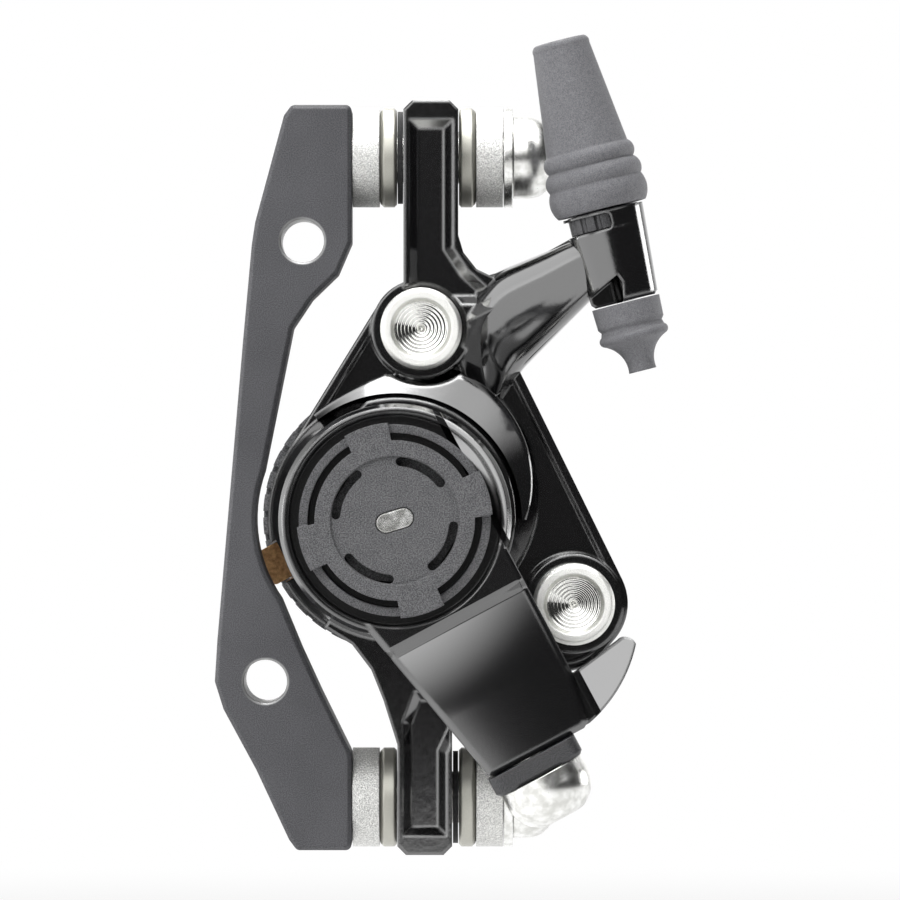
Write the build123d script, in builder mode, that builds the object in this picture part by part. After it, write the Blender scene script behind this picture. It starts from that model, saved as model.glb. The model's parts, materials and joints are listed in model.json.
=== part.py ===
from build123d import *
from math import atan2, cos, degrees, hypot, radians, sin
import os

# A cable-pulled disc brake caliper on its frame bracket.
# Millimetres. +X is away from the frame, +Z is up, and +Y runs inboard, towards the wheel.
# The origin lies midway between the two frame bolt holes, on the bracket's outboard face.

# Driving dimensions: the frame bracket
frame_hole_pitch = 51.0
frame_hole_lean = 4.8
frame_hole_r = 2.5
frame_hole_chamfer = 0.25
bracket_depth = 12.0
bracket_edge = 0.45
bracket_margin = 5.85
post_bolt_pitch = 74.2
post_bolt_drop = 1.9
post_face_x = 7.8
post_tab_length = 7.2
post_tab_half = 5.9
bay_gap = 1.45

# Driving dimensions: the bolts and washers at the posts
bolt_r = 3.0
bolt_head_r = 4.75
bolt_head_height = 4.6
bolt_socket_r = 2.3
washer_r = 5.75
concave_washer_length = 3.1
convex_washer_length = 1.9
flat_washer_length = 1.0
retainer_length = 0.6
washer_gap = 0.1
ear_length = 6.3
ear_end = 6.3
ear_half_depth = 8.6
ear_slip = 3.0
ear_lip = 2.15
ear_wall = 0.6
ear_channel_depth = 1.05
thread_fit = 0.05
running_fit = 0.05

# Driving dimensions: the caliper body
actuator_x = 12.9
actuator_z = -6.7
caliper_turn = 29.0
rotor_depth = 21.5
rotor_r = 80.0
rotor_reach = 71.0
rotor_rim_gap = 2.0
rotor_slot = 5.2
drum_r = 14.75
drum_face = -6.0
drum_face_r = 13.3
drum_cone_length = 8.0
drum_bore_r = 11.6
drum_wall = 3.2
saddle_r = 15.6
saddle_shift = 3.5
saddle_direction = 70.0
saddle_rim = 0.3
saddle_root = 1.0
saddle_rib_points = ((-4.3, 12.6), (0.3, 16.9), (7.0, 23.2))
flank_floor = 3.0
flank_rim = 0.6
flank_rim_width = 1.1
body_bolt_u = 13.2
upper_bolt_v = 17.75
lower_bolt_v = -18.45
body_bolt_seat = -1.5
body_bolt_head_r = 4.7
body_bolt_head_height = 3.6
boss_wall = 1.05
spot_face_gap = 0.5
lower_lobe_r = 6.3
heel_lobe_u = 11.3
heel_lobe_v = -19.5
heel_lobe_r = 6.0
flank_r = 6.9
flank_u = 20.8
flank_v = 8.5
inboard_wall_length = 4.9

# Driving dimensions: the cable stop
cable_depth = -9.4
stop_x = 36.58
stop_z = 28.48
stop_lean = 14.2
stop_length = 10.55
stop_top_r = 4.7
stop_foot_r = 3.75
stop_window = 2.1
stop_brow = 0.3
adjuster_r = 3.0
collar_r = 4.1
housing_socket_r = 2.55
cable_hole_r = 1.1
boot_length = 20.1
boot_grip_r = 2.35
adjuster_stem = 10.9
nozzle_length = 8.0

# Driving dimensions: the actuator, along the axis through the drum
spindle_r = 6.0
screw_core_r = 2.9
screw_r = 4.9
tang_length = 4.3
tang_width = 2.2
tang_turn = 17.0
tang_slot_gap = 0.1
thrust_washer_length = 1.2
drive_disc_length = 3.75
ramp_gap = 0.5
ramp_disc_length = 4.2
ramp_nut_r = 7.6
ramp_foot_gap = 1.1
ball_r = 2.0
ball_circle_r = 8.4
ball_fit = 0.05
ramp_lift = 1.6
arm_travel = 36.0
key_width = 3.6
key_depth = 1.5
key_gap = 0.1
key_start = 0.0
disc_gap = 0.3
seal_r = 7.7
seal_wire_r = 0.55
spring_r = 10.0
spring_wire_r = 0.6
spring_turns = 2.25
spring_pitch = 1.4

# Driving dimensions: the pads
lining_gap = 5.4
lining_depth = 2.3
plate_depth = 1.9
pad_gap = 0.2
pad_top_u = 9.2
pad_heel_u = -9.5
pad_half_v = 12.6
plate_margin = 1.0
tab_v = 2.2
tab_width = 4.4
tab_u = -16.6
tab_notch_u = -13.2
foot_r = 8.2
foot_disc_length = 3.85
foot_pin_r = 2.2
pad_spring_sheet = 0.4
pad_spring_half = 8.5
pad_spring_bow = 0.9
pad_spring_room = 1.6

# Driving dimensions: the arm
arm_angle = -61.8
arm_gap = 0.4
arm_floor = 3.6
arm_face = -13.2
arm_hub_r = 13.3
arm_cup_r = 12.1
arm_back = -7.0
arm_length = 31.0
arm_half_width = 9.7
arm_tip_half = 6.6
arm_bevel = 0.6
hex_flats = 9.6
nut_flats = 14.0
nut_length = 2.3
nut_core_r = 4.6
claw_face = -12.2
claw_back = -7.3
claw_reach = 17.5
cable_groove_r = 1.0
clamp_plate_length = 11.0
clamp_plate_width = 9.0
clamp_plate_thick = 2.3
clamp_bolt_r = 2.5
clamp_head_r = 5.1
clamp_head_height = 5.4
clamp_gap = 0.1

# Driving dimensions: the dials
dial_face = -16.5
dial_plate = 1.7
dial_lobe_r = 11.1
dial_notch_r = 9.1
dial_lobe_angle = 27.0
dial_skirt = 1.0
dial_skirt_step = 0.2
dial_skirt_depth = 4.2
dial_step_r = 7.3
dial_step = 0.4
dial_slot_r = 6.7
dial_slot_width = 1.0
dial_slot_angle = 46.0
inboard_boss_r = 8.0
inboard_boss_length = 1.8
inboard_dial_r = 16.1
inboard_dial_depth = 5.2
inboard_dial_gap = 0.3
inboard_dial_wall = 2.0
tooth_count = 36
tooth_depth = 0.9

os.makedirs("parts", exist_ok=True)


def facing(x, z, turn, depth=0):
    """A plane square to the depth axis, drawn as seen from outside the wheel, turned about (x, z)."""
    across = (cos(radians(turn)), 0, sin(radians(turn)))
    return Plane(origin=(x, depth, z), x_dir=across, z_dir=(0, -1, 0))


def body_plane(depth):
    """Body plane: local x points away from the rotor's centre, local y along the rotor's rim."""
    return facing(actuator_x, actuator_z, caliper_turn, depth)


def arm_plane(depth):
    """Arm plane: local x runs along the arm from its hub, local y to the side of the cable."""
    return facing(actuator_x, actuator_z, arm_angle, depth)


def front_plane(depth):
    """Plane of the front view, in the row's own X and Z."""
    return facing(0, 0, 0, depth)


def band(inner, outer, near, far):
    """Rectangle of a turned part's section, between two radii and two places along the axis."""
    with Locations(((inner + outer) / 2, (near + far) / 2)):
        Rectangle(outer - inner, far - near)


def slot_half_depth():
    """Half the width of the pad pocket, from the rotor's mid-plane to the wall behind a plate."""
    return lining_gap / 2 + lining_depth + plate_depth + pad_gap / 2


def polar(radius, direction):
    """Point of a sketch at a radius from its centre, in a direction."""
    return (radius * cos(radians(direction)), radius * sin(radians(direction)))


def body_point(u, v):
    """Row X and Z of a point given in the body's own directions."""
    turn = radians(caliper_turn)
    return (actuator_x + u * cos(turn) - v * sin(turn), actuator_z + u * sin(turn) + v * cos(turn))


# Section planes of turned parts: local x is the radius and local y runs along the axis
actuator_section = Plane(origin=(actuator_x, 0, actuator_z), x_dir=(1, 0, 0), z_dir=(0, 0, 1))
actuator_axis = Axis((actuator_x, 0, actuator_z), (0, 1, 0))
stop_up = (-sin(radians(stop_lean)), 0, cos(radians(stop_lean)))
stop_section = facing(stop_x, stop_z, stop_lean, cable_depth)
stop_axis = Axis((stop_x, cable_depth, stop_z), stop_up)

# The post bolts and the pieces along them
post_depth = bracket_depth / 2
post_upper_z = post_bolt_pitch / 2 - post_bolt_drop
post_lower_z = -post_bolt_pitch / 2 - post_bolt_drop
post_heights = (post_lower_z, post_upper_z)
inner_concave_x = post_face_x + washer_gap
inner_convex_x = inner_concave_x + concave_washer_length + washer_gap
retainer_x = inner_convex_x + convex_washer_length + washer_gap
ear_x = retainer_x + retainer_length + washer_gap
lower_ear_x = retainer_x
lower_retainer_x = lower_ear_x + ear_length + washer_gap
outer_convex_x = ear_x + ear_length + washer_gap
outer_concave_x = outer_convex_x + convex_washer_length + washer_gap
flat_washer_x = outer_concave_x + concave_washer_length + washer_gap
bolt_head_x = flat_washer_x + flat_washer_length + washer_gap
bolt_tip_x = post_face_x - post_tab_length + 0.4
bolt_end_x = bolt_head_x + bolt_head_height
bolt_hole_r = bolt_r + thread_fit

# Depths through the body and the actuator
slot_wall = rotor_depth - slot_half_depth()
inboard_wall = rotor_depth + slot_half_depth()
inboard_face = inboard_wall + inboard_wall_length
drum_floor = drum_face + drum_wall
drive_disc_front = drum_floor + thrust_washer_length + 2 * running_fit
drive_disc_back = drive_disc_front + drive_disc_length
ramp_front = drive_disc_back + ramp_gap
ramp_back = ramp_front + ramp_disc_length
ball_depth = drive_disc_back + 0.3 * ball_r
outboard_plate_back = slot_wall + pad_gap / 2
screw_back = outboard_plate_back - foot_disc_length - 2 * running_fit
ramp_nut_back = screw_back - ramp_foot_gap
inboard_plate_back = inboard_wall - pad_gap / 2
arm_hub_back = drum_face - arm_gap
arm_floor_front = arm_hub_back - arm_floor
nut_front = arm_floor_front - running_fit - nut_length
drum_disc_r = drum_bore_r - disc_gap
slot_clear = rotor_r + rotor_rim_gap
screw_bore_r = screw_core_r + 0.3
boss_r = body_bolt_head_r + boss_wall
body_bolt_points = ((body_bolt_u, upper_bolt_v), (body_bolt_u, lower_bolt_v))
tang_slot_length = tang_length + 2 * tang_slot_gap
tang_slot_width = tang_width + 2 * tang_slot_gap


def body_outline():
    """Outline of both halves: the drum, the two bolt lobes and the straight flank between them."""
    Circle(drum_r)
    with Locations((body_bolt_u, upper_bolt_v)):
        Circle(boss_r)
    with Locations((body_bolt_u, lower_bolt_v)):
        Circle(lower_lobe_r)
    with Locations((heel_lobe_u, heel_lobe_v)):
        Circle(heel_lobe_r)
    with Locations((flank_u - flank_r, flank_v)):
        Circle(flank_r)
    make_hull()


def pad_outline(margin):
    """Outline of a pad, widened by a margin: square at the rim side, tapered at the heel."""
    top = pad_top_u + margin
    heel = pad_heel_u - margin
    side = pad_half_v + margin
    corners = [(top, side - 2.4), (top - 2.4, side), (heel + 5.6, side), (heel, side - 3.8)]
    mirrored = [(u, -v) for u, v in reversed(corners)]
    Polygon(*corners, *mirrored, align=None)


def pocket_outline():
    """Outline of the pocket round a pad, with room for the pad spring and for the pull tab."""
    pad_outline(pad_gap)
    with Locations((pad_top_u, 0)):
        Rectangle(2 * pad_spring_room, 2 * pad_spring_half + 0.6)
    with Locations((tab_u, tab_v)):
        Rectangle(-2 * (tab_u - pad_heel_u), tab_width + 2 * pad_gap)


# Mount bracket: the plate that bolts to the frame, with a bay for the caliper body.
upper_hole_x = frame_hole_pitch / 2 * sin(radians(frame_hole_lean))
upper_hole_z = frame_hole_pitch / 2 * cos(radians(frame_hole_lean))
frame_holes = [(upper_hole_x, upper_hole_z), (-upper_hole_x, -upper_hole_z)]
bay_r = drum_r + bay_gap
tab_end_x = post_face_x - post_tab_length


def bay_point(direction):
    """Point on the bay, which runs round the drum."""
    return (
        actuator_x + bay_r * cos(radians(direction)),
        actuator_z + bay_r * sin(radians(direction)),
    )


with BuildPart() as mount_bracket:
    with BuildSketch(front_plane(bracket_depth)):
        with BuildLine():
            rim = FilletPolyline(
                bay_point(160),
                (post_face_x - 6.8, post_upper_z - 19.8),
                (post_face_x - 4.6, post_upper_z - 16.5),
                (post_face_x - 1.6, post_upper_z - 13.6),
                (post_face_x, post_upper_z - 9.9),
                (post_face_x, post_upper_z + post_tab_half),
                (tab_end_x + 0.3, post_upper_z + post_tab_half),
                (tab_end_x - 0.6, post_upper_z + post_tab_half - 1.2),
                (upper_hole_x - bracket_margin + 0.4, upper_hole_z + 2.2),
                (upper_hole_x - bracket_margin, upper_hole_z - 0.4),
                (upper_hole_x - bracket_margin - 1.0, upper_hole_z - 11.4),
                (-upper_hole_x - bracket_margin + 0.3, -upper_hole_z + 4.8),
                (-upper_hole_x - bracket_margin, -upper_hole_z),
                (-upper_hole_x - bracket_margin + 1.0, -upper_hole_z - 3.2),
                (tab_end_x - 3.8, post_lower_z + 3.4),
                (tab_end_x, post_lower_z - post_tab_half + 1.2),
                (tab_end_x + 0.9, post_lower_z - post_tab_half),
                (post_face_x, post_lower_z - post_tab_half),
                (post_face_x, post_lower_z + 5.2),
                (post_face_x - 3.5, post_lower_z + 12.3),
                (post_face_x - 5.8, post_lower_z + 17.3),
                bay_point(215),
                radius=0.7,
            )
            ThreePointArc(rim @ 1, bay_point(188), rim @ 0)
        make_face()
    extrude(amount=bracket_depth)
    chamfer(mount_bracket.faces().filter_by(Axis.Y).edges(), bracket_edge)
    with BuildSketch(front_plane(0)):
        with Locations(*frame_holes):
            Circle(frame_hole_r)
    extrude(amount=-bracket_depth, mode=Mode.SUBTRACT)
    hole_rims = mount_bracket.edges().filter_by(GeomType.CIRCLE)
    chamfer(hole_rims.filter_by(lambda rim: abs(rim.radius - frame_hole_r) < 0.01), frame_hole_chamfer)
    with BuildSketch(Plane.YZ.offset(tab_end_x - 8)):
        with Locations(*[(post_depth, height) for height in post_heights]):
            Circle(bolt_hole_r)
    extrude(amount=post_tab_length + 8, mode=Mode.SUBTRACT)
mount_bracket.part.label = "mount_bracket"

# Washers and bolts at the two posts. Dished pairs let the caliper tilt on its slotted ears.
dish = 0.7


def post_section(height):
    """Section plane of the turned pieces on one post bolt: local x is the radius, local y is +X."""
    return Plane(origin=(0, post_depth, height), x_dir=(0, 0, 1), z_dir=(0, 1, 0))


def post_axis(height):
    """Line of one post bolt."""
    return Axis((0, post_depth, height), (1, 0, 0))


with BuildPart() as concave_washers:
    for height in post_heights:
        for flat_x, side in ((inner_concave_x, 1), (outer_concave_x + concave_washer_length, -1)):
            length = side * concave_washer_length
            with BuildSketch(post_section(height)):
                Polygon(
                    (bolt_hole_r, flat_x),
                    (washer_r, flat_x),
                    (washer_r, flat_x + length),
                    (washer_r - 0.5, flat_x + length),
                    (bolt_hole_r, flat_x + length - side * dish),
                    align=None,
                )
            revolve(axis=post_axis(height))
concave_washers.part.label = "concave_washers"

with BuildPart() as convex_washers:
    for height in post_heights:
        for flat_x, side in ((inner_convex_x + convex_washer_length, -1), (outer_convex_x, 1)):
            length = side * convex_washer_length
            with BuildSketch(post_section(height)):
                Polygon(
                    (bolt_hole_r, flat_x),
                    (washer_r - 0.3, flat_x),
                    (washer_r, flat_x + 0.3 * side),
                    (washer_r, flat_x + length - 0.4 * side),
                    (washer_r - 0.4, flat_x + length),
                    (bolt_hole_r, flat_x + length + side * dish),
                    align=None,
                )
            revolve(axis=post_axis(height))
convex_washers.part.label = "convex_washers"

with BuildPart() as retaining_rings:
    for height, ring_x in ((post_upper_z, retainer_x), (post_lower_z, lower_retainer_x)):
        with BuildSketch(post_section(height)):
            band(bolt_hole_r, washer_r - 0.4, ring_x, ring_x + retainer_length)
        revolve(axis=post_axis(height))
retaining_rings.part.label = "retaining_rings"

with BuildPart() as flat_washers:
    for height in post_heights:
        with BuildSketch(post_section(height)):
            band(bolt_hole_r, washer_r + 0.05, flat_washer_x, flat_washer_x + flat_washer_length)
        revolve(axis=post_axis(height))
flat_washers.part.label = "flat_washers"

with BuildPart() as post_bolts:
    for height in post_heights:
        with BuildSketch(post_section(height)):
            with BuildLine():
                Line((0, bolt_tip_x), (bolt_r - 0.5, bolt_tip_x))
                Line((bolt_r - 0.5, bolt_tip_x), (bolt_r, bolt_tip_x + 0.5))
                Line((bolt_r, bolt_tip_x + 0.5), (bolt_r, bolt_head_x))
                Line((bolt_r, bolt_head_x), (bolt_head_r, bolt_head_x))
                Line((bolt_head_r, bolt_head_x), (bolt_head_r, bolt_head_x + 0.35 * bolt_head_height))
                ThreePointArc(
                    (bolt_head_r, bolt_head_x + 0.35 * bolt_head_height),
                    (0.86 * bolt_head_r, bolt_head_x + 0.78 * bolt_head_height),
                    (0.55 * bolt_head_r, bolt_head_x + bolt_head_height),
                )
                Line((0.55 * bolt_head_r, bolt_head_x + bolt_head_height), (0, bolt_end_x))
                Line((0, bolt_end_x), (0, bolt_tip_x))
            make_face()
        revolve(axis=post_axis(height))
    with BuildSketch(Plane.YZ.offset(bolt_head_x + bolt_head_height)):
        with Locations(*[(post_depth, height) for height in post_heights]):
            RegularPolygon(bolt_socket_r, 6)
    extrude(amount=-0.5 * bolt_head_height, mode=Mode.SUBTRACT)
post_bolts.part.label = "post_bolts"

# Outboard housing: one casting with the drum, the bolt lobes, both slotted ears and the cable stop.
ear_front = post_depth - ear_half_depth
ear_right_x = ear_x + ear_length
web_z = actuator_z + 27.7
stop_foot_q = -stop_length

# Outlines of the moulded channels in the ears' front faces
upper_channel = [
    (ear_x + ear_wall, post_upper_z + ear_end - ear_lip),
    (ear_x + ear_wall, web_z - 3.0),
    (ear_right_x + 2.9, web_z - 3.0),
    (ear_right_x + 3.3, web_z - 1.0),
    (ear_right_x + 1.1, web_z + 1.0),
    (ear_right_x - ear_wall, web_z + 3.6),
    (ear_right_x - ear_wall, post_upper_z + ear_end - ear_lip),
]
lower_channel = [
    (lower_ear_x + ear_wall, post_lower_z - ear_end + ear_lip),
    (lower_ear_x + ear_length - ear_wall, post_lower_z - ear_end + ear_lip),
    (lower_ear_x + ear_length - ear_wall, post_lower_z + 5.4),
    (lower_ear_x + ear_length + 1.0, post_lower_z + 8.8),
    (lower_ear_x + ear_length + 1.0, post_lower_z + 12.5),
    (lower_ear_x + 1.9, post_lower_z + 12.5),
    (lower_ear_x + ear_wall, post_lower_z + 9.0),
]


def strut_section(lower, upper, fronts, back):
    """Five-sided section of the strut between two points of the front view, with a ridge in front."""
    span = hypot(upper[0] - lower[0], upper[1] - lower[1])
    lean = degrees(atan2(upper[1] - lower[1], upper[0] - lower[0]))
    across = (cos(radians(lean)), 0, sin(radians(lean)))
    plane = Plane(origin=(lower[0], 0, lower[1]), x_dir=across, z_dir=(-across[2], 0, across[0]))
    corners = [(0, fronts[0]), (0.68 * span, fronts[1]), (span, fronts[2]), (span, back), (0, back)]
    return plane, corners


def stop_point(q):
    """Row X and Z of a point on the stop's axis."""
    return (stop_x + q * stop_up[0], stop_z + q * stop_up[2])


strut_sections = [
    strut_section((22.5, 5.0), (17.5, 19.8), (1.0, -1.9, 0.5), 12.0),
    strut_section((27.6, 11.0), (24.4, 21.6), (-0.4, -4.6, -2.2), 9.0),
    strut_section((31.8, 15.2), (29.6, 23.6), (-4.6, -8.4, -5.6), 2.6),
    strut_section(stop_point(-7.0), stop_point(-1.0), (-11.4, -13.3, -11.6), -6.6),
]

# Saddle: the broad chamfer that runs from the drum's face down to the flank, up to the rib beside the lobe.
with BuildPart() as saddle:
    with BuildSketch(facing(actuator_x, actuator_z, saddle_direction, drum_face)):
        with Locations((saddle_rim, 0)):
            Circle(drum_face_r + saddle_rim)
    with BuildSketch(facing(actuator_x, actuator_z, saddle_direction, flank_floor + saddle_root)):
        with Locations((saddle_shift, 0)):
            Circle(saddle_r)
    loft(ruled=True)
    with BuildSketch(front_plane(flank_floor + 2 * saddle_root)):
        Polygon(
            (actuator_x, actuator_z),
            *[(actuator_x + across, actuator_z + up) for across, up in saddle_rib_points],
            (actuator_x + 2 * drum_r, actuator_z + saddle_rib_points[-1][1]),
            (actuator_x + 2 * drum_r, actuator_z - 2 * drum_r),
            (actuator_x, actuator_z - 2 * drum_r),
            align=None,
        )
    extrude(amount=flank_floor + 3 * saddle_root - drum_face, mode=Mode.INTERSECT)
    with BuildSketch(body_plane(flank_floor + saddle_root)):
        body_outline()
    extrude(amount=flank_floor + saddle_root - drum_face, mode=Mode.INTERSECT)

with BuildPart() as outboard_housing:
    with BuildSketch(body_plane(rotor_depth)):
        body_outline()
    extrude(amount=rotor_depth - flank_rim)
    with BuildSketch(body_plane(flank_rim)):
        body_outline()
        offset(amount=-flank_rim_width)
    extrude(amount=flank_rim - flank_floor, mode=Mode.SUBTRACT)
    with BuildSketch(actuator_section):
        Polygon(
            (0, drum_face),
            (drum_face_r - 0.3, drum_face),
            (drum_face_r, drum_face + 0.3),
            (drum_r, drum_face + drum_cone_length),
            (drum_r, slot_wall),
            (0, slot_wall),
            align=None,
        )
    revolve(axis=actuator_axis)
    add(saddle.part)
    with BuildSketch(body_plane(slot_wall)):
        with Locations(*body_bolt_points):
            Circle(boss_r)
    extrude(amount=slot_wall - body_bolt_seat)
    with BuildSketch(front_plane(slot_wall)):
        Polygon(
            (ear_x, post_upper_z + ear_end - 1),
            (ear_x + 1, post_upper_z + ear_end),
            (ear_right_x - 1, post_upper_z + ear_end),
            (ear_right_x, post_upper_z + ear_end - 1),
            (ear_right_x, web_z + 5.0),
            (ear_right_x + 0.6, web_z + 3.0),
            (ear_right_x + 2.1, web_z + 1.1),
            (ear_right_x + 4.4, web_z),
            (ear_right_x + 5.0, web_z - 4.0),
            (ear_x, actuator_z + 19),
            align=None,
        )
        Polygon(
            (lower_ear_x + 1, post_lower_z - ear_end),
            (lower_ear_x, post_lower_z - ear_end + 1),
            (lower_ear_x, post_lower_z + 6.4),
            (lower_ear_x - 1.6, post_lower_z + 11.5),
            (lower_ear_x - 3.0, post_lower_z + 15.0),
            (lower_ear_x - 5.2, post_lower_z + 17.9),
            (lower_ear_x - 8.4, post_lower_z + 19.9),
            (lower_ear_x, actuator_z),
            (lower_ear_x + 14, actuator_z - 9),
            (lower_ear_x + 11.5, post_lower_z + 18.5),
            (lower_ear_x + 8.2, post_lower_z + 16.0),
            (lower_ear_x + ear_length, post_lower_z + 10.5),
            (lower_ear_x + ear_length, post_lower_z - ear_end + 1),
            (lower_ear_x + ear_length - 1, post_lower_z - ear_end),
            align=None,
        )
    extrude(amount=slot_wall - ear_front)
    for plane, corners in strut_sections:
        with BuildSketch(plane):
            Polygon(*corners, align=None)
    loft(ruled=True)
    with BuildSketch(body_plane(body_bolt_seat)):
        with Locations(*body_bolt_points):
            Circle(body_bolt_head_r + spot_face_gap)
    extrude(amount=body_bolt_seat - cable_depth, mode=Mode.SUBTRACT)
    with BuildSketch(stop_section):
        Polygon(
            (0, 0),
            (stop_top_r, 0),
            (stop_foot_r + 0.15, stop_foot_q + 0.4),
            (stop_foot_r - 0.25, stop_foot_q),
            (0, stop_foot_q),
            align=None,
        )
    revolve(axis=stop_axis)
    # Ear slots along the depth, and the moulded channels in the ears' front faces
    with BuildSketch(Plane.YZ.offset(ear_x - 2)):
        with Locations(*[(post_depth, height) for height in post_heights]):
            SlotCenterToCenter(2 * ear_slip, 2 * (bolt_r + 0.3))
    extrude(amount=ear_length + 4, mode=Mode.SUBTRACT)
    for outline in (upper_channel, lower_channel):
        with BuildSketch(front_plane(ear_front)):
            Polygon(*outline, align=None)
        with BuildSketch(front_plane(ear_front + ear_channel_depth)):
            Polygon(*outline, align=None)
            offset(amount=-ear_channel_depth, kind=Kind.INTERSECTION)
        loft(ruled=True, mode=Mode.SUBTRACT)
    # The rotor slot, the pad pocket behind it and its open heel
    with BuildSketch(body_plane(rotor_depth + 1)):
        with Locations((-rotor_reach, 0)):
            Circle(slot_clear)
    extrude(amount=rotor_slot / 2 + 1, mode=Mode.SUBTRACT)
    with BuildSketch(body_plane(rotor_depth + 1)):
        pocket_outline()
    extrude(amount=rotor_depth + 1 - slot_wall, mode=Mode.SUBTRACT)
    # The notch in the drum's wall that shows the pads' pull tabs
    with BuildSketch(body_plane(slot_wall + 1)):
        with Locations((2 * tab_notch_u, tab_v)):
            Rectangle(-2 * tab_notch_u, tab_width + 2 * pad_gap)
    extrude(amount=slot_wall + 1 - drum_face, mode=Mode.SUBTRACT)
    # Bores along the actuator axis: cavity, keyways, spindle bore, seal seat and spring groove
    with BuildSketch(actuator_section):
        band(0, drum_bore_r, drum_floor, slot_wall + 1)
        band(0, spindle_r + running_fit, drum_face - 1, drum_floor + 1)
        band(0, seal_r + seal_wire_r + 0.1, drum_face - 1, drum_face + 2 * seal_wire_r - arm_gap + 0.1)
        band(spring_r - 1.1, spring_r + 1.1, drum_face - 1, drum_face + 1.9)
    revolve(axis=actuator_axis, mode=Mode.SUBTRACT)
    with BuildSketch(body_plane(slot_wall + 1)):
        with PolarLocations(drum_bore_r, 3, start_angle=key_start):
            Rectangle(2 * (key_depth + key_gap), key_width + 2 * key_gap)
    extrude(amount=slot_wall + 1 - ramp_front + 0.2, mode=Mode.SUBTRACT)
    # Body bolt holes
    with BuildSketch(body_plane(rotor_depth + 1)):
        with Locations(*body_bolt_points):
            Circle(bolt_hole_r)
    extrude(amount=rotor_depth + 1 - body_bolt_seat, mode=Mode.SUBTRACT)
    # Cable stop: the adjuster's thread, the cable hole, the window at the collar and the open arch
    with BuildSketch(stop_section):
        band(0, adjuster_r + thread_fit, stop_foot_q + 3.4, 1)
        band(0, cable_hole_r, stop_foot_q - 1, 1)
        band(0, collar_r + 0.15, -stop_window, 1)
    revolve(axis=stop_axis, mode=Mode.SUBTRACT)
    with BuildSketch(facing(stop_x, stop_z, stop_lean, cable_depth - 6)):
        with Locations((-stop_top_r, -stop_window / 2 - stop_brow / 2)):
            RectangleRounded(2 * stop_top_r + 1.2, stop_window - stop_brow, 0.6)
    extrude(amount=-12, mode=Mode.SUBTRACT)
    with BuildSketch(facing(stop_x, stop_z, stop_lean, cable_depth - 0.6)):
        Polygon(
            (-0.3, stop_foot_q + 3.1),
            (0.1, stop_foot_q + 2.0),
            (-0.5, stop_foot_q - 1.0),
            (-2 * stop_foot_r, stop_foot_q - 1.0),
            (-2 * stop_foot_r, stop_foot_q - 0.4),
            align=None,
        )
    extrude(amount=2 * stop_foot_r, mode=Mode.SUBTRACT)
outboard_housing.part.label = "outboard_housing"

# Inboard housing: the half that faces the wheel, with the inboard pad's screw boss.
with BuildPart() as inboard_housing:
    with BuildSketch(body_plane(inboard_face)):
        body_outline()
    extrude(amount=inboard_face - rotor_depth)
    chamfer(inboard_housing.faces().sort_by(Axis.Y)[-1].edges(), 1.2)
    with BuildSketch(actuator_section):
        band(0, inboard_boss_r, inboard_face - 1, inboard_face + inboard_boss_length)
    revolve(axis=actuator_axis)
    with BuildSketch(body_plane(rotor_depth - 1)):
        with Locations((-rotor_reach, 0)):
            Circle(slot_clear)
    extrude(amount=-(rotor_slot / 2 + 1), mode=Mode.SUBTRACT)
    with BuildSketch(body_plane(rotor_depth - 1)):
        pocket_outline()
    extrude(amount=-(inboard_wall - rotor_depth + 1), mode=Mode.SUBTRACT)
    with BuildSketch(actuator_section):
        band(0, foot_r + 0.3, inboard_wall - 1, inboard_wall + 2.7)
        band(0, screw_r + running_fit, inboard_wall, inboard_face + inboard_boss_length + 1)
    revolve(axis=actuator_axis, mode=Mode.SUBTRACT)
    with BuildSketch(body_plane(rotor_depth - 1)):
        with Locations(*body_bolt_points):
            Circle(bolt_hole_r)
    extrude(amount=-(inboard_face - rotor_depth + 2), mode=Mode.SUBTRACT)
inboard_housing.part.label = "inboard_housing"

# Body bolts: the two bolts that clamp the halves together, with turned, dished heads.
body_bolt_tip = inboard_face - 1.0
with BuildPart() as body_bolts:
    for bolt_u, bolt_v in body_bolt_points:
        bolt_x, bolt_z = body_point(bolt_u, bolt_v)
        head_front = body_bolt_seat - body_bolt_head_height
        with BuildSketch(Plane(origin=(bolt_x, 0, bolt_z), x_dir=(1, 0, 0), z_dir=(0, 0, 1))):
            Polygon(
                (0, head_front + 2.1),
                (0.5, head_front + 1.5),
                (3.1, head_front + 1.0),
                (3.5, head_front),
                (body_bolt_head_r - 0.4, head_front),
                (body_bolt_head_r, head_front + 0.4),
                (body_bolt_head_r, body_bolt_seat),
                (bolt_r, body_bolt_seat),
                (bolt_r, body_bolt_tip - 0.5),
                (bolt_r - 0.5, body_bolt_tip),
                (0, body_bolt_tip),
                align=None,
            )
        revolve(axis=Axis((bolt_x, 0, bolt_z), (0, 1, 0)))
body_bolts.part.label = "body_bolts"

# Thrust washer: carries the drive ramp's push on the drum's floor.
with BuildPart() as thrust_washer:
    with BuildSketch(actuator_section):
        thrust_front = drum_floor + running_fit
        band(spindle_r + 0.2, drum_disc_r, thrust_front, thrust_front + thrust_washer_length)
    revolve(axis=actuator_axis)
thrust_washer.part.label = "thrust_washer"

# Dust seal: a rubber ring in the drum's front, under the arm's hub.
with BuildPart() as dust_seal:
    with BuildSketch(actuator_section):
        with Locations((seal_r, arm_hub_back + running_fit + seal_wire_r)):
            Circle(seal_wire_r)
    revolve(axis=actuator_axis)
dust_seal.part.label = "dust_seal"

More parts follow.
